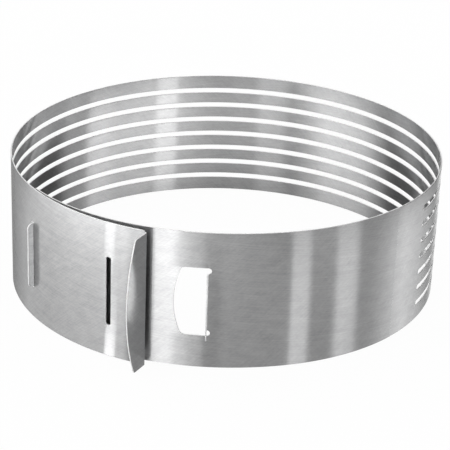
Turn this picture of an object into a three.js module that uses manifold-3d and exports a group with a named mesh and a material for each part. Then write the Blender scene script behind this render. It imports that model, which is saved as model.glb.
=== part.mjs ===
// Adjustable cake slicing ring: one strip of spring stainless steel, punched, rolled and lapped over itself.
// Knife slots run round the back. At the front, a tab bent out of the inner end hooks into the outer end.
// Millimetres and degrees. Angles run round the ring from the front, -Y, towards +X. Z is up from the table.
import * as THREE from 'three';
import { mergeVertices } from 'three/addons/utils/BufferGeometryUtils.js';
import Module from 'manifold-3d';

// The strip
const SHEET = 0.8; // thickness of the steel
const HEIGHT = 84; // width of the strip, the height of the ring
const INNER_DIAMETER = 260; // at the small setting
const SETTING_STEP = 20; // growth in diameter from the small setting to the large one
const CUT_GAP = 0.3; // between neighbouring stretches of the strip
const ARC_STEP = 3; // angle between the facets of a rolled stretch
const CURVE_STEPS = 10; // facets of a round edge
const PUNCH_DROP = 0.8; // from the middle of the height down to the middle of the tabs and their openings

// Where the strip bends when the ring changes size, and where the outer end lifts off
const FRONT_BEND_ANGLE = 37;
const BACK_BEND_ANGLE = 157;
const WRAP_BEND_ANGLE = 285;

// Knife slots, level slots spread evenly over the height
const KNIFE_SLOTS = 7;
const KNIFE_SLOT_HEIGHT = 3.2;
const KNIFE_FROM_ANGLE = 61.8;
const KNIFE_TO_ANGLE = 277;

// How the two ends stand off the round: the outer end swings out, the inner end springs against it
const WRAP_STAND_OFF = 8;
const WRAP_SWING_FROM_ANGLE = 215;
const WRAP_SWING_TO_ANGLE = 335;
const TONGUE_SWING_FROM_ANGLE = 15;
const SPRING_GAP = 0.3; // from the tongue's tip to the outer end

// Locking tab at the tip of the inner end, and its two slots in the outer end
const TONGUE_LENGTH = 126.4; // from the front line to the tip
const LOCK_TAB_HEIGHT = 41.1;
const LOCK_TAB_REACH = 3.9; // along the tab, beyond the outer end's face
const LOCK_TAB_CORNER = 3;
const LOCK_TAB_LEAN_ANGLE = 6; // past square, towards the front line
const LOCK_PLAY_FRONT = 0.15; // slot clearance on the side of the front line
const LOCK_PLAY_BACK = 1.9;
const LOCK_PLAY_ENDS = 0.95;

// Grip flap, bent out from the outer end
const WRAP_END_LAND = 20.4; // from the large setting's slot to the bend
const FLAP_REACH = 21.2;
const FLAP_SHOULDER = 12.5; // reach at its top and bottom
const FLAP_CORNER = 2;
const FLAP_EDGE = 1.2; // set back from the strip's upper edge
const FLAP_LEAN_ANGLE = 8; // past square, back over the outer end

// Squeeze tab, punched out of the front and bent out square, and the window that it leaves
const SQUEEZE_ROOT = 9.2; // from the front line to the bend
const WINDOW_REACH = 19.5;
const WINDOW_SHOULDER = 15; // reach at its top and bottom
const WINDOW_CORNER = 2.8;
const WINDOW_HEIGHT = 42.4;
const SQUEEZE_RELIEF = 3.6; // round cut above and below the tab
const SQUEEZE_RELIEF_REACH = 1.5; // past the bend
const SQUEEZE_LEAN_ANGLE = 2; // past square, away from the window
const FRONT_LAND = 14; // plain steel between the window and the tongue

const wasm = await Module();
wasm.setup();

const DEGREE = Math.PI / 180;
const MID_RADIUS = INNER_DIAMETER / 2 + SHEET / 2;
const PUNCH_MIDDLE = HEIGHT / 2 - PUNCH_DROP;
const PUNCH_LENGTH = 2 * WINDOW_REACH; // passes through the roll of the strip
const degreesFor = (length) => length / MID_RADIUS / DEGREE;

const TONGUE_TIP = -degreesFor(TONGUE_LENGTH);
const FULL_TURN = 360;
const SQUARE = 90;

// Plan radius of the strip's middle, from the tongue's tip round the ring to the outer end
const { smoothstep } = THREE.MathUtils;
const wrapRadius = (angle) =>
  MID_RADIUS + WRAP_STAND_OFF * smoothstep(angle, WRAP_SWING_FROM_ANGLE, WRAP_SWING_TO_ANGLE);
const TONGUE_STAND_OFF = wrapRadius(TONGUE_TIP + FULL_TURN) - SHEET - SPRING_GAP - MID_RADIUS;
const stripRadius = (angle) =>
  wrapRadius(angle) + TONGUE_STAND_OFF * smoothstep(-angle, -TONGUE_SWING_FROM_ANGLE, -TONGUE_TIP);

function pointAt(angle, radius) {
  return new THREE.Vector2(radius * Math.sin(angle * DEGREE), -radius * Math.cos(angle * DEGREE));
}

function brushedSteel() {
  return new THREE.MeshStandardMaterial({ color: 0xb9babb, roughness: 0.34, metalness: 1 });
}

// One rolled stretch of the strip between two angles and two heights, trimmed by half a gap at each end
function stretch(name, from, to, bottom, top) {
  const trim = degreesFor(CUT_GAP / 2);
  const angles = [from + trim];
  for (let i = Math.ceil(angles[0] / ARC_STEP); i * ARC_STEP < to - trim; i++) {
    if (i * ARC_STEP > angles[0]) angles.push(i * ARC_STEP);
  }
  angles.push(to - trim);
  const outer = angles.map((angle) => pointAt(angle, stripRadius(angle) + SHEET / 2));
  const inner = angles.map((angle) => pointAt(angle, stripRadius(angle) - SHEET / 2));
  const plan = new THREE.Shape([...outer, ...inner.reverse()]);
  const geometry = new THREE.ExtrudeGeometry(plan, { depth: top - bottom, bevelEnabled: false });
  const mesh = new THREE.Mesh(geometry, brushedSteel());
  mesh.name = name;
  mesh.position.z = bottom;
  return mesh;
}

// A flat plate that stands upright: its outline's x runs along the heading, its y up, its thickness to the
// right of the heading
function uprightPlate(name, outline, thickness, heading, place) {
  const options = { depth: thickness, bevelEnabled: false, curveSegments: CURVE_STEPS };
  const mesh = new THREE.Mesh(new THREE.ExtrudeGeometry(outline, options), brushedSteel());
  mesh.name = name;
  mesh.position.set(place.x, place.y, 0);
  mesh.rotation.set(Math.PI / 2, 0, heading * DEGREE, 'ZXY');
  return mesh;
}

// Outline with a straight root at x = 0, level ends out to the shoulder, a round free edge and round corners
function lensOutline(shoulder, reach, corner, bottom, top) {
  const half = (top - bottom) / 2;
  const bulge = reach - shoulder;
  const radius = (half * half + bulge * bulge) / (2 * bulge);
  const centre = reach - radius;
  const cornerRun = Math.sqrt((radius - corner) ** 2 - (half - corner) ** 2);
  const sweep = Math.atan2(half - corner, cornerRun);
  const outline = new THREE.Shape();
  outline.moveTo(0, bottom);
  outline.lineTo(centre + cornerRun, bottom);
  outline.absarc(centre + cornerRun, bottom + corner, corner, -Math.PI / 2, -sweep, false);
  outline.absarc(centre, bottom + half, radius, -sweep, sweep, false);
  outline.absarc(centre + cornerRun, top - corner, corner, sweep, Math.PI / 2, false);
  outline.lineTo(0, top);
  outline.closePath();
  return outline;
}

// Upright slot with round ends, between two sides
function slotOutline(left, right, bottom, top) {
  const radius = (right - left) / 2;
  const middle = left + radius;
  const outline = new THREE.Shape();
  outline.absarc(middle, bottom + radius, radius, Math.PI, 2 * Math.PI, false);
  outline.absarc(middle, top - radius, radius, 0, Math.PI, false);
  outline.closePath();
  return outline;
}

function solidOf(mesh) {
  mesh.updateMatrix();
  const geometry = mesh.geometry.clone().applyMatrix4(mesh.matrix);
  geometry.deleteAttribute('normal');
  geometry.deleteAttribute('uv');
  const merged = mergeVertices(geometry);
  const triVerts = new Uint32Array(merged.index.array);
  const vertProperties = merged.attributes.position.array;
  return new wasm.Manifold(new wasm.Mesh({ numProp: 3, vertProperties, triVerts }));
}

// The mesh with every punch's shape cut out of it
function punched(mesh, punches) {
  const cut = punches.reduce((solid, punch) => solid.subtract(solidOf(punch)), solidOf(mesh)).getMesh();
  const geometry = new THREE.BufferGeometry();
  geometry.setAttribute('position', new THREE.BufferAttribute(cut.vertProperties, 3));
  geometry.setIndex(new THREE.BufferAttribute(cut.triVerts, 1));
  geometry.computeVertexNormals();
  const result = new THREE.Mesh(geometry, mesh.material);
  result.name = mesh.name;
  return result;
}

// A punch that passes squarely through the strip; its outline's x runs along the strip from the given angle
function punchAt(outline, angle) {
  const start = pointAt(angle, stripRadius(angle) - PUNCH_LENGTH / 2);
  return uprightPlate('punch', outline, PUNCH_LENGTH, angle, start);
}

const ring = new THREE.Group();

// Inner end: spring tongue behind the outer end, with the locking tab bent out at its tip
const WINDOW_SIDE = -degreesFor(SQUEEZE_ROOT + WINDOW_REACH);
const TONGUE_ROOT = WINDOW_SIDE - degreesFor(FRONT_LAND);
ring.add(stretch('tongue', TONGUE_TIP, TONGUE_ROOT, 0, HEIGHT));

const LOCK_TAB_START = stripRadius(TONGUE_TIP) - SHEET / 2;
const LOCK_THROUGH = 2 * SHEET + SPRING_GAP; // through the tongue, the spring gap and the outer end
const LOCK_TAB_LENGTH = LOCK_THROUGH / Math.cos(LOCK_TAB_LEAN_ANGLE * DEGREE) + LOCK_TAB_REACH;
const LOCK_TAB_BOTTOM = PUNCH_MIDDLE - LOCK_TAB_HEIGHT / 2;
const LOCK_TAB_TOP = PUNCH_MIDDLE + LOCK_TAB_HEIGHT / 2;
const cornerX = LOCK_TAB_LENGTH - LOCK_TAB_CORNER;
const lockTabOutline = new THREE.Shape();
lockTabOutline.moveTo(0, LOCK_TAB_BOTTOM);
lockTabOutline.lineTo(cornerX, LOCK_TAB_BOTTOM);
lockTabOutline.absarc(cornerX, LOCK_TAB_BOTTOM + LOCK_TAB_CORNER, LOCK_TAB_CORNER, -Math.PI / 2, 0, false);
lockTabOutline.absarc(cornerX, LOCK_TAB_TOP - LOCK_TAB_CORNER, LOCK_TAB_CORNER, 0, Math.PI / 2, false);
lockTabOutline.lineTo(0, LOCK_TAB_TOP);
lockTabOutline.closePath();
const LOCK_TAB_ANGLE = TONGUE_TIP - degreesFor(CUT_GAP / 2);
const LOCK_TAB_PLACE = pointAt(LOCK_TAB_ANGLE, LOCK_TAB_START);
const LOCK_TAB_HEADING = LOCK_TAB_ANGLE - SQUARE + LOCK_TAB_LEAN_ANGLE;
ring.add(uprightPlate('locking_tab', lockTabOutline, SHEET, LOCK_TAB_HEADING, LOCK_TAB_PLACE));

// Front panel with the window, and the squeeze tab that was punched out of it
const WINDOW_BOTTOM = PUNCH_MIDDLE - WINDOW_HEIGHT / 2;
const WINDOW_TOP = PUNCH_MIDDLE + WINDOW_HEIGHT / 2;
const SQUEEZE_ANGLE = -degreesFor(SQUEEZE_ROOT);
const windowLens = lensOutline(WINDOW_SHOULDER, WINDOW_REACH, WINDOW_CORNER, WINDOW_BOTTOM, WINDOW_TOP);
const windowPoints = windowLens.getPoints(CURVE_STEPS).map((point) => new THREE.Vector2(-point.x, point.y));
const reliefRadius = SQUEEZE_RELIEF / 2;
const reliefOutlines = [WINDOW_BOTTOM + reliefRadius, WINDOW_TOP - reliefRadius].map((middle) => {
  const outline = new THREE.Shape();
  outline.absarc(SQUEEZE_RELIEF_REACH - reliefRadius, middle, reliefRadius, 0, 2 * Math.PI, false);
  return outline;
});
const frontOutlines = [new THREE.Shape(windowPoints), ...reliefOutlines];
const frontPunches = frontOutlines.map((outline) => punchAt(outline, SQUEEZE_ANGLE));
ring.add(punched(stretch('front_panel', TONGUE_ROOT, FRONT_BEND_ANGLE, 0, HEIGHT), frontPunches));

const SQUEEZE_BOTTOM = WINDOW_BOTTOM + SQUEEZE_RELIEF;
const SQUEEZE_TOP = WINDOW_TOP - SQUEEZE_RELIEF;
const squeezeOutline = lensOutline(WINDOW_SHOULDER, WINDOW_REACH, WINDOW_CORNER, SQUEEZE_BOTTOM, SQUEEZE_TOP);
const SQUEEZE_HEADING = SQUEEZE_ANGLE - SQUARE + SQUEEZE_LEAN_ANGLE;
const SQUEEZE_PLACE = pointAt(SQUEEZE_ANGLE - degreesFor(CUT_GAP), stripRadius(SQUEEZE_ANGLE) - SHEET / 2);
ring.add(uprightPlate('squeeze_tab', squeezeOutline, SHEET, SQUEEZE_HEADING, SQUEEZE_PLACE));

// Right side: plain panel up to the knife slots
ring.add(stretch('right_panel', FRONT_BEND_ANGLE, KNIFE_FROM_ANGLE, 0, HEIGHT));

// Guide bars between the knife slots, counted from the table up, on both sides of the bend at the back
const KNIFE_PITCH = HEIGHT / (KNIFE_SLOTS + 1);
for (let bar = 1; bar <= KNIFE_SLOTS + 1; bar++) {
  const bottom = bar === 1 ? 0 : (bar - 1) * KNIFE_PITCH + KNIFE_SLOT_HEIGHT / 2;
  const top = bar > KNIFE_SLOTS ? HEIGHT : bar * KNIFE_PITCH - KNIFE_SLOT_HEIGHT / 2;
  ring.add(stretch(`guide_bar_${bar}_right`, KNIFE_FROM_ANGLE, BACK_BEND_ANGLE, bottom, top));
  ring.add(stretch(`guide_bar_${bar}_left`, BACK_BEND_ANGLE, KNIFE_TO_ANGLE, bottom, top));
}

// Left side: plain panel behind the knife slots
ring.add(stretch('left_panel', KNIFE_TO_ANGLE, WRAP_BEND_ANGLE, 0, HEIGHT));

// Outer end, lapped over the tongue, with a slot for each setting and the grip flap
const SMALL_SETTING = LOCK_TAB_ANGLE + FULL_TURN;
const LARGE_SETTING = SMALL_SETTING + degreesFor(Math.PI * SETTING_STEP);
const WRAP_END = LARGE_SETTING + degreesFor(WRAP_END_LAND);
const LOCK_LEAN = Math.tan(LOCK_TAB_LEAN_ANGLE * DEGREE);
const LOCK_TAB_WIDTH = SHEET / Math.cos(LOCK_TAB_LEAN_ANGLE * DEGREE); // in the slot, along the strip
const SETTING_RIGHT = LOCK_THROUGH * LOCK_LEAN + LOCK_PLAY_FRONT;
const SETTING_LEFT = (LOCK_THROUGH - SHEET) * LOCK_LEAN - LOCK_TAB_WIDTH - LOCK_PLAY_BACK;
const SETTING_BOTTOM = LOCK_TAB_BOTTOM - LOCK_PLAY_ENDS;
const SETTING_TOP = LOCK_TAB_TOP + LOCK_PLAY_ENDS;
const settingSlot = slotOutline(SETTING_LEFT, SETTING_RIGHT, SETTING_BOTTOM, SETTING_TOP);
const settingPunches = [SMALL_SETTING, LARGE_SETTING].map((angle) => punchAt(settingSlot, angle));
ring.add(punched(stretch('outer_wrap', WRAP_BEND_ANGLE, WRAP_END, 0, HEIGHT), settingPunches));

const flapOutline = lensOutline(FLAP_SHOULDER, FLAP_REACH, FLAP_CORNER, 0, HEIGHT - FLAP_EDGE);
const FLAP_PLACE = pointAt(WRAP_END + degreesFor(CUT_GAP + SHEET), stripRadius(WRAP_END) - SHEET / 2);
ring.add(uprightPlate('grip_flap', flapOutline, SHEET, WRAP_END - SQUARE - FLAP_LEAN_ANGLE, FLAP_PLACE));

// The origin is on the table, at the centre of the footprint
const footprint = new THREE.Box3().setFromObject(ring);
const centre = footprint.getCenter(new THREE.Vector3());
ring.position.set(-centre.x, -centre.y, 0);

const part = new THREE.Group();
part.add(ring);

export default part;
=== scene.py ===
from math import ceil, cos, pi, radians, sin, sqrt

import bmesh
import bpy
from mathutils import Matrix, Vector


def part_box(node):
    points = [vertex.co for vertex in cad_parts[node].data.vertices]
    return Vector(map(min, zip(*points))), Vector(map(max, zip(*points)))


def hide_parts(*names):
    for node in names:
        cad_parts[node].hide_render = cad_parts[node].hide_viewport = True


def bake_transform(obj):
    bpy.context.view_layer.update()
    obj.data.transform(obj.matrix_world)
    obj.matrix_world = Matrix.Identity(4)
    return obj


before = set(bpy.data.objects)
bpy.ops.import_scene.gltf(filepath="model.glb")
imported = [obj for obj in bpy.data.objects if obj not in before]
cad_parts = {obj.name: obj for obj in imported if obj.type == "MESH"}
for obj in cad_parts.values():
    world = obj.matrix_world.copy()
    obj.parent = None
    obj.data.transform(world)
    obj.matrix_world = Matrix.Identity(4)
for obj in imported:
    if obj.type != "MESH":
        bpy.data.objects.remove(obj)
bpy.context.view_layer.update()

# Inner end of the strip: the plain front, with the squeeze tab bent out of its D-shaped window, and the
# spring tongue that runs on behind the outer end to the locking tab bent out at its tip.
# It is 0.8 mm spring stainless steel, brushed along its length, punched flat and then rolled.
SHEET = 0.0008
BEND = 0.0008  # radius of a bent tab, to the middle of the sheet
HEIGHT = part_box("right_panel")[1].z
INNER_RADIUS = 0.130
RADIUS = INNER_RADIUS + SHEET / 2  # to the middle of the sheet
CENTRE = Vector((
    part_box("guide_bar_1_right")[1].x - RADIUS - SHEET / 2,
    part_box("guide_bar_1_left")[1].y - RADIUS - SHEET / 2,
    0,
))
UP = Vector((0, 0, 1))
PUNCH_DROP = 0.0008  # from the middle of the height down to the middle of the tabs
PUNCH_MIDDLE = HEIGHT / 2 - PUNCH_DROP


def along(angle):
    """Length along the strip, from the middle of the front towards the right."""
    return RADIUS * radians(angle)


def ease(share):
    share = min(max(share, 0), 1)
    return share * share * (3 - 2 * share)


WRAP_STAND_OFF = 0.008
WRAP_SWING_FROM = along(215)
WRAP_SWING = along(120)


def wrap_radius(length):
    """The outer end swings out of the round, so that it laps over the tongue."""
    return RADIUS + WRAP_STAND_OFF * ease((length - WRAP_SWING_FROM) / WRAP_SWING)


TONGUE_SWING_FROM = along(15)
TONGUE_TIP = -0.1264
SPRING_GAP = 0.0003  # from the tongue's tip to the outer end
TONGUE_STAND_OFF = wrap_radius(TONGUE_TIP + along(360)) - SHEET - SPRING_GAP - RADIUS


def strip_at(length, height=0):
    """Where a point of the flat strip lies in the rolled ring, in the middle of the sheet."""
    swing = TONGUE_STAND_OFF * ease((TONGUE_SWING_FROM - length) / (TONGUE_SWING_FROM - TONGUE_TIP))
    radius = wrap_radius(length) + swing
    angle = length / RADIUS
    return CENTRE + Vector((radius * sin(angle), -radius * cos(angle), height))


def strip_heading(length):
    nudge = 1e-5
    return (strip_at(length + nudge) - strip_at(length - nudge)).normalized()


def even(start, stop, step=along(1.5)):
    count = ceil((stop - start) / step)
    return [start + (stop - start) * i / count for i in range(count + 1)]


def crowded(start, stop, count):
    """Heights from start to stop that crowd towards both, for outlines with round corners there."""
    return [start + (stop - start) * (1 - cos(pi * i / count)) / 2 for i in range(count + 1)]


CLOSEST_ROWS = 0.00012


def rows_of(kept, *fillers):
    """The kept heights, and those of the fillers that don't come too close to another."""
    rows = list(kept)
    for height in [height for filler in fillers for height in filler]:
        if min(abs(height - row) for row in rows) > CLOSEST_ROWS:
            rows.append(height)
    return sorted(rows)


def flat_blank(columns, rows, cut):
    """The strip laid flat, as a grid without the faces that are cut away.
    A column is a length or a function of the height, and a row a height or a function of the length."""
    strip = bmesh.new()
    grid = bmesh.ops.create_grid(strip, x_segments=len(columns) - 1, y_segments=len(rows) - 1, size=1)
    for vert in grid["verts"]:
        column = columns[round((vert.co.x + 1) / 2 * (len(columns) - 1))]
        row = rows[round((vert.co.y + 1) / 2 * (len(rows) - 1))]
        height = row(column) if callable(row) else row
        length = column(height) if callable(column) else column
        vert.co = (length, height, 0)
    holes = [face for face in strip.faces if cut(*face.calc_center_median().xy)]
    bmesh.ops.delete(strip, geom=holes, context="FACES")
    return strip


def roll(strip):
    """Rolls the flat strip into the ring. Its UV map keeps where each point lay on the flat steel."""
    flat = strip.loops.layers.uv.new("flat")
    for face in strip.faces:
        for loop in face.loops:
            loop[flat].uv = loop.vert.co.xy
    for vert in strip.verts:
        vert.co = strip_at(*vert.co.xy)


BEND_STEPS = 6
TAB_STEPS = 8


def bend_out(strip, root, side, rows, reach, turn):
    """A tab that runs on from the strip at root, towards side, and is bent out by turn.
    Its free edge is at reach, a function of the height."""
    steps = BEND_STEPS + TAB_STEPS
    grid = bmesh.ops.create_grid(strip, x_segments=steps, y_segments=len(rows) - 1, size=1)
    flat = strip.loops.layers.uv["flat"]
    ahead = strip_heading(root) * side
    out = strip_heading(root).cross(UP)
    bend_reach = (BEND * (1 - cos(turn)) + SHEET / 2) / sin(turn)
    laid = {}
    for vert in grid["verts"]:
        step = round((vert.co.x + 1) / 2 * steps)
        height = rows[round((vert.co.y + 1) / 2 * (len(rows) - 1))]
        bent = turn * min(step / BEND_STEPS, 1)
        straight = (reach(height) - bend_reach) * max(step - BEND_STEPS, 0) / TAB_STEPS
        laid[vert] = (root + side * (BEND * bent + straight), height)
        vert.co = strip_at(root, height) + (ahead * sin(bent) + out * (1 - cos(bent))) * BEND
        vert.co += (ahead * cos(turn) + out * sin(turn)) * straight
    for face in {face for vert in laid for face in vert.link_faces}:
        for loop in face.loops:
            loop[flat].uv = laid[loop.vert]


def lens(shoulder, reach, corner, bottom, top):
    """Reach of a lens-shaped edge as a function of the height: one round bow with rounded corners."""
    half = (top - bottom) / 2
    bow = (half ** 2 + (reach - shoulder) ** 2) / (2 * (reach - shoulder))
    corner_run = sqrt((bow - corner) ** 2 - (half - corner) ** 2)
    bow_half = bow * (half - corner) / (bow - corner)

    def at(height):
        away = min(abs(height - bottom - half), half)
        if away < bow_half:
            return reach - bow + sqrt(bow ** 2 - away ** 2)
        return reach - bow + corner_run + sqrt(max(corner ** 2 - (away - half + corner) ** 2, 0))

    return at


class Wire:
    """A shader socket. Sums and products of wires and numbers become Math nodes."""

    def __init__(self, tree, socket=None):
        self.tree = tree
        self.socket = socket

    def node(self, kind, settings, inputs, output=0):
        made = self.tree.nodes.new(kind)
        for name, value in settings.items():
            if name == "stops":
                ramp = made.color_ramp
                while len(ramp.elements) < len(value):
                    ramp.elements.new(1)
                for element, (position, colour) in zip(ramp.elements, value):
                    element.position = position
                    element.color = colour
            else:
                setattr(made, name, value)
        for name, value in inputs.items():
            if isinstance(value, Wire):
                self.tree.links.new(value.socket, made.inputs[name])
            else:
                made.inputs[name].default_value = value
        return Wire(self.tree, made.outputs[output] if made.outputs else None)

    def maths(self, operation, first, second=0):
        return self.node("ShaderNodeMath", {"operation": operation}, {0: first, 1: second})

    def __add__(self, other):
        return self.maths("ADD", self, other)

    def __radd__(self, other):
        return self.maths("ADD", other, self)

    def __sub__(self, other):
        return self.maths("SUBTRACT", self, other)

    def __rsub__(self, other):
        return self.maths("SUBTRACT", other, self)

    def __mul__(self, other):
        return self.maths("MULTIPLY", self, other)

    def __rmul__(self, other):
        return self.maths("MULTIPLY", other, self)


def new_shader(name):
    material = bpy.data.materials.new(name)
    material.use_nodes = True
    material.node_tree.nodes.clear()
    return material, Wire(material.node_tree)


brushed_steel, shader = new_shader("brushed_steel")
flat_uv = shader.node("ShaderNodeUVMap", {"uv_map": "flat"}, {})


def streaks(scale, slant=0.0, detail=2.0):
    """Brush marks, as noise drawn out along the strip.
    The scale is how many there are to the metre, along the strip and up it."""
    turned = shader.node("ShaderNodeMapping", {}, {"Vector": flat_uv, "Rotation": (0, 0, slant)})
    drawn = shader.node("ShaderNodeMapping", {}, {"Vector": turned, "Scale": (*scale, 1)})
    return shader.node("ShaderNodeTexNoise", {}, {"Vector": drawn, "Scale": 1.0, "Detail": detail})


hairlines = streaks((90, 7000))
brush_lines = streaks((25, 1300), slant=0.1)
cross_lines = streaks((80, 1500), slant=-0.75)
grain = streaks((500, 1400), slant=0.1)
clouds = streaks((100, 200), detail=4.0)
marks = hairlines * 0.2 + brush_lines * 0.2 + cross_lines * 0.2 + grain * 0.2 + clouds * 0.2
steel_colour = shader.node(
    "ShaderNodeValToRGB",
    {"stops": [(0.35, (0.46, 0.465, 0.47, 1)), (0.65, (0.74, 0.74, 0.74, 1))]},
    {"Fac": marks},
)
scratches = hairlines * 0.5 + brush_lines * 0.5
steel_bump = shader.node("ShaderNodeBump", {}, {"Strength": 0.03, "Distance": 0.0001, "Height": scratches})


def steel_lobe(roughness, drawn):
    return shader.node(
        "ShaderNodeBsdfPrincipled",
        {},
        {
            "Base Color": steel_colour,
            "Metallic": 1.0,
            "Roughness": roughness,
            "Anisotropic": drawn,
            "Anisotropic Rotation": 0.25,
            "Normal": steel_bump,
        },
    )


HAZE = 0.3  # share of the light that the fine scratches scatter
mirror_lobe = steel_lobe(roughness=0.1 + marks * 0.08, drawn=1.0)
haze_lobe = steel_lobe(roughness=0.45 + marks * 0.22, drawn=0.67)
steel_surface = shader.node("ShaderNodeMixShader", {}, {0: HAZE, 1: mirror_lobe, 2: haze_lobe})
shader.node("ShaderNodeOutputMaterial", {}, {"Surface": steel_surface})

punched_edge, shader = new_shader("punched_edge")
edge_place = shader.node("ShaderNodeTexCoord", {}, {}, output="Object")
edge_tears = shader.node("ShaderNodeTexNoise", {}, {"Vector": edge_place, "Scale": 1500.0, "Detail": 2.0})
edge_colour = shader.node(
    "ShaderNodeValToRGB",
    {"stops": [(0.3, (0.86, 0.86, 0.86, 1)), (0.7, (0.96, 0.96, 0.96, 1))]},
    {"Fac": edge_tears},
)
edge_surface = shader.node(
    "ShaderNodeBsdfPrincipled",
    {},
    {"Base Color": edge_colour, "Metallic": 1.0, "Roughness": 0.7 + edge_tears * 0.3},
)
shader.node("ShaderNodeOutputMaterial", {}, {"Surface": edge_surface})


SAME_PLACE = 1e-6
BROKEN_EDGE = 0.0003


def steel_piece(name, strip, seams):
    """The finished piece: the sheet with its thickness and broken edges. At a seam the strip runs on."""
    bmesh.ops.remove_doubles(strip, verts=strip.verts, dist=SAME_PLACE)
    bmesh.ops.recalc_face_normals(strip, faces=strip.faces)
    broken = strip.edges.layers.float.new("bevel_weight_edge")
    for face in strip.faces:
        face.smooth = True
    for edge in strip.edges:
        if edge.is_boundary:
            edge.smooth = False
            at_seam = any(
                all((vert.co.xy - strip_at(seam).xy).length < SAME_PLACE for vert in edge.verts)
                for seam in seams
            )
            edge[broken] = 0 if at_seam else 1
    mesh = bpy.data.meshes.new(name)
    strip.to_mesh(mesh)
    strip.free()
    piece = bpy.data.objects.new(name, mesh)
    bpy.context.scene.collection.objects.link(piece)
    piece.data.materials.append(brushed_steel)
    piece.data.materials.append(punched_edge)
    wall = piece.modifiers.new("sheet", "SOLIDIFY")
    wall.thickness = SHEET
    wall.offset = 0
    wall.use_even_offset = True
    wall.material_offset_rim = 1
    edges = piece.modifiers.new("broken_edges", "BEVEL")
    edges.limit_method = "WEIGHT"
    edges.width = BROKEN_EDGE
    edges.segments = 2
    edges.harden_normals = True
    evaluated = piece.evaluated_get(bpy.context.evaluated_depsgraph_get())
    piece.data = bpy.data.meshes.new_from_object(evaluated)
    piece.modifiers.clear()
    return piece


LOCK_HALF = 0.02055
LOCK_BOTTOM = PUNCH_MIDDLE - LOCK_HALF
LOCK_TOP = PUNCH_MIDDLE + LOCK_HALF
LOCK_CORNER = 0.003
LOCK_SETBACK = 0.00038  # from the tip back to where the bend starts
LOCK_ROOT = TONGUE_TIP + LOCK_SETBACK
LOCK_TURN = radians(96)
LOCK_BEYOND = 0.0039  # along the tab, beyond the outer end's face
LOCK_REACH = (2 * SHEET + SPRING_GAP) / sin(LOCK_TURN) + LOCK_BEYOND


def lock_reach(height):
    into_corner = max(LOCK_BOTTOM + LOCK_CORNER - height, height - LOCK_TOP + LOCK_CORNER, 0)
    return LOCK_REACH - LOCK_CORNER + sqrt(max(LOCK_CORNER ** 2 - into_corner ** 2, 0))


SQUEEZE_LINE = -0.0092
SQUEEZE_SETBACK = 0.0001  # from the line back to where the bend starts
SQUEEZE_ROOT = SQUEEZE_LINE + SQUEEZE_SETBACK
SQUEEZE_TURN = radians(92)
WINDOW_HALF = 0.0212
WINDOW_BOTTOM = PUNCH_MIDDLE - WINDOW_HALF
WINDOW_TOP = PUNCH_MIDDLE + WINDOW_HALF
WINDOW_SHOULDER = 0.015  # reach at its top and bottom
WINDOW_REACH = 0.0195
WINDOW_CORNER = 0.0028
RELIEF = 0.0018  # radius of the round cut at each end of the bend
RELIEF_REACH = 0.0015
SQUEEZE_BOTTOM = WINDOW_BOTTOM + 2 * RELIEF
SQUEEZE_TOP = WINDOW_TOP - 2 * RELIEF
window_reach = lens(WINDOW_SHOULDER, WINDOW_REACH, WINDOW_CORNER, WINDOW_BOTTOM, WINDOW_TOP)
squeeze_reach = lens(WINDOW_SHOULDER, WINDOW_REACH, WINDOW_CORNER, SQUEEZE_BOTTOM, SQUEEZE_TOP)


def window_left(height):
    return SQUEEZE_LINE - window_reach(min(max(height, WINDOW_BOTTOM), WINDOW_TOP))


def window_right(height):
    for middle in (WINDOW_BOTTOM + RELIEF, WINDOW_TOP - RELIEF):
        if abs(height - middle) < RELIEF:
            relief = RELIEF_REACH - RELIEF + sqrt(RELIEF ** 2 - (height - middle) ** 2)
            return SQUEEZE_LINE + max(relief, SQUEEZE_SETBACK)
    return SQUEEZE_ROOT


def over_window(share):
    return lambda height: window_left(height) + (window_right(height) - window_left(height)) * share


FRONT_SEAM = along(49)
LEFT_OF_WINDOW = -0.034
RIGHT_OF_WINDOW = -0.005
WINDOW_STEPS = 5
RELIEF_STEPS = 9
SQUEEZE_STEPS = 40
PLAIN_STEP = 0.007
front_columns = even(LOCK_ROOT, LEFT_OF_WINDOW)
front_columns += [over_window(i / WINDOW_STEPS) for i in range(WINDOW_STEPS + 1)]
front_columns += even(RIGHT_OF_WINDOW, FRONT_SEAM)
front_rows = rows_of(
    [0, WINDOW_BOTTOM, LOCK_BOTTOM, SQUEEZE_BOTTOM, SQUEEZE_TOP, LOCK_TOP, WINDOW_TOP, HEIGHT],
    crowded(WINDOW_BOTTOM, SQUEEZE_BOTTOM, RELIEF_STEPS),
    crowded(SQUEEZE_TOP, WINDOW_TOP, RELIEF_STEPS),
    crowded(SQUEEZE_BOTTOM, SQUEEZE_TOP, SQUEEZE_STEPS),
    even(0, WINDOW_BOTTOM, PLAIN_STEP),
    even(WINDOW_TOP, HEIGHT, PLAIN_STEP),
)
front_strip = flat_blank(
    front_columns,
    front_rows,
    lambda length, height: WINDOW_BOTTOM < height < WINDOW_TOP
    and window_left(height) < length < window_right(height),
)
roll(front_strip)
lock_rows = [row for row in front_rows if LOCK_BOTTOM <= row <= LOCK_TOP]
bend_out(front_strip, LOCK_ROOT, -1, lock_rows, lock_reach, LOCK_TURN)
squeeze_rows = [row for row in front_rows if SQUEEZE_BOTTOM <= row <= SQUEEZE_TOP]
bend_out(front_strip, SQUEEZE_ROOT, -1, squeeze_rows, squeeze_reach, SQUEEZE_TURN)
front_piece = steel_piece("front_and_tongue", front_strip, [FRONT_SEAM])
strip_at(along(27))
strip_at(along(47))
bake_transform(front_piece)
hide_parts("tongue", "locking_tab", "front_panel", "squeeze_tab", "right_panel")

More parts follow.
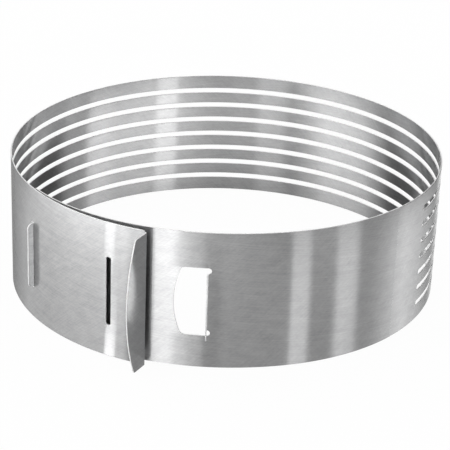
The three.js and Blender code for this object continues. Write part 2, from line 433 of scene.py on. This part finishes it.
# Slotted round of the strip: eight level guide bars between seven knife slots, from the right side round the
# back to the left. The slots are punched through the flat strip with round ends, all at once, so that a long
# knife passes level through both sides of the ring.
KNIFE_SLOTS = 7
KNIFE_HALF = 0.0016
KNIFE_FROM = along(61.8)
KNIFE_TO = along(277)
KNIFE_PITCH = HEIGHT / (KNIFE_SLOTS + 1)
KNIFE_SPREAD = 0.006  # past a slot's end, where the rows of the grid spread again
SLOT_MARGIN = 0.004  # from a slot's end or middle to the even columns of the grid
ROUND_STEPS = 6


def knife_half(length):
    """Half the height of a knife slot at a length; past its round end the rows of the grid spread again."""
    inside = min(length - KNIFE_FROM, KNIFE_TO - length)
    if inside < 0:
        return KNIFE_HALF * ease(-inside / KNIFE_SPREAD)
    return sqrt(KNIFE_HALF ** 2 - max(KNIFE_HALF - inside, 0) ** 2)


def knife_row(middle, side):
    return lambda length: middle + side * knife_half(length)


def through_slot(length, height):
    middle = KNIFE_PITCH * round(height / KNIFE_PITCH)
    return (
        KNIFE_FROM < length < KNIFE_TO
        and 0 < middle < HEIGHT - KNIFE_PITCH / 2
        and abs(height - middle) < knife_half(length)
    )


def round_end(radius):
    """Steps from the tip of a slot's round end to where it has its full width."""
    return [radius * (1 - cos(radians(90 * i / ROUND_STEPS))) for i in range(ROUND_STEPS + 1)]


knife_rows = [0]
for slot in range(1, KNIFE_SLOTS + 1):
    knife_rows += [knife_row(slot * KNIFE_PITCH, -1), knife_row(slot * KNIFE_PITCH, 1)]
knife_rows += [HEIGHT]
LEFT_SEAM = along(217)
back_columns = even(FRONT_SEAM, KNIFE_FROM - SLOT_MARGIN)
back_columns += [KNIFE_FROM + step for step in round_end(KNIFE_HALF)]
back_columns += even(KNIFE_FROM + SLOT_MARGIN, LEFT_SEAM)
back_strip = flat_blank(back_columns, knife_rows, through_slot)
roll(back_strip)
back_piece = steel_piece("guide_bars_right_and_back", back_strip, [FRONT_SEAM, LEFT_SEAM])
strip_at(along(137))
strip_at(along(177))
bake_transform(back_piece)
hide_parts(*[f"guide_bar_{bar}_{side}" for bar in range(1, 9) for side in ("right", "left")])

# Left side of the strip, of the same punched and rolled steel: the guide bars run on to the ends of the
# knife slots, and the plain steel behind them is where the real ring's outer end bends when its flap is
# pulled; here it stays at rest.
WRAP_SEAM = along(281)
left_columns = even(LEFT_SEAM, KNIFE_TO - SLOT_MARGIN)
left_columns += [KNIFE_TO - step for step in reversed(round_end(KNIFE_HALF))]
left_columns += even(KNIFE_TO + SLOT_MARGIN, WRAP_SEAM)
left_strip = flat_blank(left_columns, knife_rows, through_slot)
roll(left_strip)
left_piece = steel_piece("guide_bars_left", left_strip, [LEFT_SEAM, WRAP_SEAM])
strip_at(along(274))
strip_at(along(280))
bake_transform(left_piece)
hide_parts("left_panel")

# Outer end of the strip, lapped over the tongue: one upright slot for each setting, the locking tab in the
# first of them, and the lens-shaped grip flap bent out past square at its end.
SETTING_HALF = 0.00147
SETTING_PLAY = 0.00095  # above and below the locking tab
SETTING_BOTTOM = LOCK_BOTTOM - SETTING_PLAY
SETTING_TOP = LOCK_TOP + SETTING_PLAY
SETTING_SPREAD = 0.004  # past a slot's end, where the columns of the grid spread again
SETTING_STEP = 0.020  # growth of the diameter from the small setting to the large one
TAB_GAP = 0.00015  # from the tongue's tip to the locking tab's root in the solids
SMALL_SETTING = TONGUE_TIP - TAB_GAP + along(360)
LARGE_SETTING = SMALL_SETTING + pi * SETTING_STEP
SLOT_SETBACK = 0.00112  # from the setting back to the middle of its slot
setting_slots = [SMALL_SETTING - SLOT_SETBACK, LARGE_SETTING - SLOT_SETBACK]
END_LAND = 0.0204  # from the large setting to the flap
WRAP_END = LARGE_SETTING + END_LAND
FLAP_SETBACK = 0.00028  # from the end back to where the bend starts
FLAP_ROOT = WRAP_END - FLAP_SETBACK
FLAP_TURN = radians(98)
FLAP_EDGE = 0.0012  # set back from the strip's upper edge
FLAP_TOP = HEIGHT - FLAP_EDGE
FLAP_SHOULDER = 0.0125  # reach at its top and bottom
FLAP_REACH = 0.0212
FLAP_CORNER = 0.002
FLAP_STEPS = 48
CORNER_STEPS = 5
END_MARGIN = 0.003
flap_reach = lens(FLAP_SHOULDER, FLAP_REACH, FLAP_CORNER, 0, FLAP_TOP)


def setting_half(height):
    inside = min(height - SETTING_BOTTOM, SETTING_TOP - height)
    if inside < 0:
        return SETTING_HALF * ease(-inside / SETTING_SPREAD)
    return sqrt(SETTING_HALF ** 2 - max(SETTING_HALF - inside, 0) ** 2)


def setting_side(middle, side):
    return lambda height: middle + side * setting_half(height)


def wrap_end(height):
    corner = HEIGHT - FLAP_TOP
    into_corner = max(height - FLAP_TOP, 0)
    return FLAP_ROOT - corner + sqrt(max(corner ** 2 - into_corner ** 2, 0))


wrap_columns = even(WRAP_SEAM, setting_slots[0] - SLOT_MARGIN)
wrap_columns += [setting_side(setting_slots[0], -1), setting_side(setting_slots[0], 1)]
wrap_columns += even(setting_slots[0] + SLOT_MARGIN, setting_slots[1] - SLOT_MARGIN)
wrap_columns += [setting_side(setting_slots[1], -1), setting_side(setting_slots[1], 1)]
wrap_columns += even(setting_slots[1] + SLOT_MARGIN, WRAP_END - END_MARGIN)
wrap_columns += [wrap_end]
wrap_rows = rows_of(
    [0, SETTING_BOTTOM, SETTING_TOP, FLAP_TOP, HEIGHT],
    [SETTING_BOTTOM + step for step in round_end(SETTING_HALF)],
    [SETTING_TOP - step for step in round_end(SETTING_HALF)],
    [FLAP_TOP + (HEIGHT - FLAP_TOP) * sin(radians(90 * i / CORNER_STEPS)) for i in range(1, CORNER_STEPS)],
    crowded(0, FLAP_TOP, FLAP_STEPS),
)
wrap_strip = flat_blank(
    wrap_columns,
    wrap_rows,
    lambda length, height: SETTING_BOTTOM < height < SETTING_TOP
    and any(abs(length - slot) < setting_half(height) for slot in setting_slots),
)
roll(wrap_strip)
flap_rows = [row for row in wrap_rows if row <= FLAP_TOP]
bend_out(wrap_strip, FLAP_ROOT, 1, flap_rows, flap_reach, FLAP_TURN)
wrap_piece = steel_piece("outer_end_and_flap", wrap_strip, [WRAP_SEAM])
strip_at(along(282))
strip_at(along(288))
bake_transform(wrap_piece)
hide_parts("outer_wrap", "grip_flap")

# Studio: a white floor under a white sky. Three round tents of lighter and darker panels, and a few round
# cards, stand where only the steel mirrors them, as a photographer sets them for bright metal: they give it
# its upright bands. The floor stays out of the mirror, or all the steel would turn white.
FLOOR_HALF = 4
FLOOR_WHITE = 0.96  # share of plain white in what the camera sees; the rest is paper, which takes the shadow


def studio_piece(name, shape, cloth):
    data = bpy.data.meshes.new(name)
    shape.to_mesh(data)
    shape.free()
    data.materials.append(cloth)
    piece = bpy.data.objects.new(name, data)
    bpy.context.scene.collection.objects.link(piece)
    return piece


def only_mirrored(piece):
    piece.visible_camera = False
    piece.visible_diffuse = False
    piece.visible_shadow = False


floor_white, shader = new_shader("floor_white")
camera_ray = shader.node("ShaderNodeLightPath", {}, {}, output="Is Camera Ray")
floor_paper = shader.node("ShaderNodeBsdfDiffuse", {}, {"Color": (0.9, 0.9, 0.9, 1)})
floor_lit = shader.node("ShaderNodeEmission", {}, {"Color": (1, 1, 1, 1), "Strength": 1.0})
floor_surface = shader.node(
    "ShaderNodeMixShader", {}, {0: camera_ray * FLOOR_WHITE, 1: floor_paper, 2: floor_lit}
)
shader.node("ShaderNodeOutputMaterial", {}, {"Surface": floor_surface})
floor_sheet = bmesh.new()
bmesh.ops.create_grid(floor_sheet, x_segments=1, y_segments=1, size=FLOOR_HALF)
floor = studio_piece("floor", floor_sheet, floor_white)
floor.visible_glossy = False

TENT_SIDES = 180
TENT_BRIGHTEST = 4.0
OUTER_GLOW = 0.4  # share of a tent's light that its outer side gives
FALL_FROM = 0.0  # heights between which a tent's light goes from its upper to its lower level
FALL_TO = -0.16
INSIDE_RADIUS = 0.1295
INSIDE_FOOT = -0.118
# Each tent has its radius, foot and brim, its upper and lower level, and its panels. A panel has its angle
# from the front and its light.
tents = {
    "tent_above": (0.45, -0.07, 0.5, (1.0, 1.0), [
        (-180, 0.02), (-115, 0.02), (-95, 1.2), (-70, 1.9), (-18, 1.9), (-16, 1.1), (-5, 0.7),
        (14, 0.5), (26, 0.3), (34, 0.55), (60, 0.5), (75, 0.2), (95, 0.02),
    ]),
    "tent_around": (0.45, -1.0, -0.07, (1.4, 0.9), [
        (-180, 0.03), (-166, 0.03), (-158, 0.45), (-138, 0.35), (-110, 0.7), (-90, 0.6), (-60, 0.65),
        (-43.5, 0.8), (-41, 0.05), (-29.5, 0.05), (-28, 1.7), (-19.5, 1.75), (-18, 1.15), (-11, 0.8),
        (-7, 0.65), (-5, 0.35), (-1, 0.35), (3, 0.48), (29.5, 0.46), (31, 1.15), (38.5, 1.15),
        (40, 0.4), (51.5, 0.4), (54, 1.1), (63, 1.1), (66.5, 0.42), (75, 0.5), (98, 1.35),
        (134, 0.45), (148, 1.25), (162, 0.5), (170, 0.03),
    ]),
    "tent_inside": (INSIDE_RADIUS, INSIDE_FOOT, -0.001, (1.5, 0.3), [
        (-180, 0.02), (-160, 0.02), (-150, 0.14), (-140, 0.38), (-122, 0.85), (-97, 1.1), (-83, 1.15),
        (-70, 0.75), (-56, 0.45), (-50, 0.45), (-42, 0.75), (-27, 0.9), (-18, 0.6), (14, 0.65),
        (42, 0.95), (46, 1.0), (48, 1.7), (64, 1.7), (66, 1.1), (105, 0.95), (109, 1.15),
        (127, 1.15), (131, 0.45), (148, 0.4), (162, 0.1), (168, 0.02),
    ]),
}
for name, (radius, foot, brim, (upper_light, lower_light), panels) in tents.items():
    band = bmesh.new()
    low = Matrix.Translation(CENTRE + UP * foot)
    bmesh.ops.create_circle(band, cap_ends=False, segments=TENT_SIDES, radius=radius, matrix=low)
    wall = bmesh.ops.extrude_edge_only(band, edges=band.edges[:])
    upper_edge = [part for part in wall["geom"] if isinstance(part, bmesh.types.BMVert)]
    bmesh.ops.translate(band, vec=UP * (brim - foot), verts=upper_edge)
    bmesh.ops.recalc_face_normals(band, faces=band.faces[:])
    tent_cloth, shader = new_shader(name)
    place = shader.node("ShaderNodeTexCoord", {}, {}, output="Object")
    place = shader.node("ShaderNodeMapping", {}, {"Vector": place, "Location": -CENTRE})
    to_right, to_back, to_top = [
        shader.node("ShaderNodeSeparateXYZ", {}, {"Vector": place}, output=axis) for axis in "XYZ"
    ]
    turn = shader.maths("ARCTAN2", to_right, 0 - to_back) * (0.5 / pi) + 0.5
    panel_light = shader.node(
        "ShaderNodeValToRGB",
        {"stops": [(0.5 + angle / 360, (*[light / TENT_BRIGHTEST] * 3, 1)) for angle, light in panels]},
        {"Fac": turn},
    )
    level = shader.node(
        "ShaderNodeMapRange",
        {},
        {
            "Value": to_top,
            "From Min": FALL_FROM,
            "From Max": FALL_TO,
            "To Min": upper_light,
            "To Max": lower_light,
        },
    )
    inner_side = shader.node("ShaderNodeNewGeometry", {}, {}, output="Backfacing")
    level = level * (inner_side * (1 - OUTER_GLOW) + OUTER_GLOW)
    cloth_light = shader.node(
        "ShaderNodeVectorMath", {"operation": "SCALE"}, {"Vector": panel_light, "Scale": level}
    )
    glow = shader.node("ShaderNodeEmission", {}, {"Color": cloth_light, "Strength": TENT_BRIGHTEST})
    shader.node("ShaderNodeOutputMaterial", {}, {"Surface": glow})
    tent = studio_piece(name, band, tent_cloth)
    only_mirrored(tent)

CARD_SIDES = 90
# Each card has its light, its middle and radius, its lean from lying flat, and its turn about the upright.
cards = {
    "dark_card": (0.05, CENTRE + UP * INSIDE_FOOT, INSIDE_RADIUS, 0.0, 0.0),
    "rim_card": (2.0, CENTRE + Vector((0, 0.44, 0.27)), 0.14, pi / 2, 0.0),
    "slot_card_above": (3.0, CENTRE + Vector((-0.345, -0.281, -0.065)), 0.022, pi / 2, radians(-52)),
    "slot_card_below": (4.0, CENTRE + Vector((-0.347, -0.279, -0.18)), 0.024, pi / 2, radians(-51)),
}
for name, (light, middle, radius, lean, turn) in cards.items():
    disc = bmesh.new()
    stand = Matrix.Translation(middle) @ Matrix.Rotation(turn, 4, "Z") @ Matrix.Rotation(lean, 4, "X")
    bmesh.ops.create_circle(disc, cap_ends=True, segments=CARD_SIDES, radius=radius, matrix=stand)
    card_cloth, shader = new_shader(name)
    glow = shader.node("ShaderNodeEmission", {}, {"Color": (1, 1, 1, 1), "Strength": light})
    shader.node("ShaderNodeOutputMaterial", {}, {"Surface": glow})
    card = studio_piece(name, disc, card_cloth)
    only_mirrored(card)

sky = bpy.data.worlds.new("white_sky")
sky.use_nodes = True
sky.node_tree.nodes["Background"].inputs["Color"].default_value = (1, 1, 1, 1)
sky.node_tree.nodes["Background"].inputs["Strength"].default_value = 1.0
bpy.context.scene.world = sky

# Camera: a long lens from the front, looking down on the ring and rolled a little, as in the photograph.
CAMERA_PLACE = Vector((0.000324, -0.99590, 0.48268))
CAMERA_DIP = radians(24.229)
CAMERA_ROLL = radians(2.14)
CAMERA_LENS = 139.46
camera_data = bpy.data.cameras.new("camera")
camera_data.lens = CAMERA_LENS
camera_data.sensor_width = 36
camera_data.clip_start = 0.01
camera = bpy.data.objects.new("camera", camera_data)
bpy.context.scene.collection.objects.link(camera)
camera.matrix_world = (
    Matrix.Translation(CAMERA_PLACE)
    @ Matrix.Rotation(pi / 2 - CAMERA_DIP, 4, "X")
    @ Matrix.Rotation(CAMERA_ROLL, 4, "Z")
)
bpy.context.scene.camera = camera
bpy.context.scene.view_settings.view_transform = "Standard"
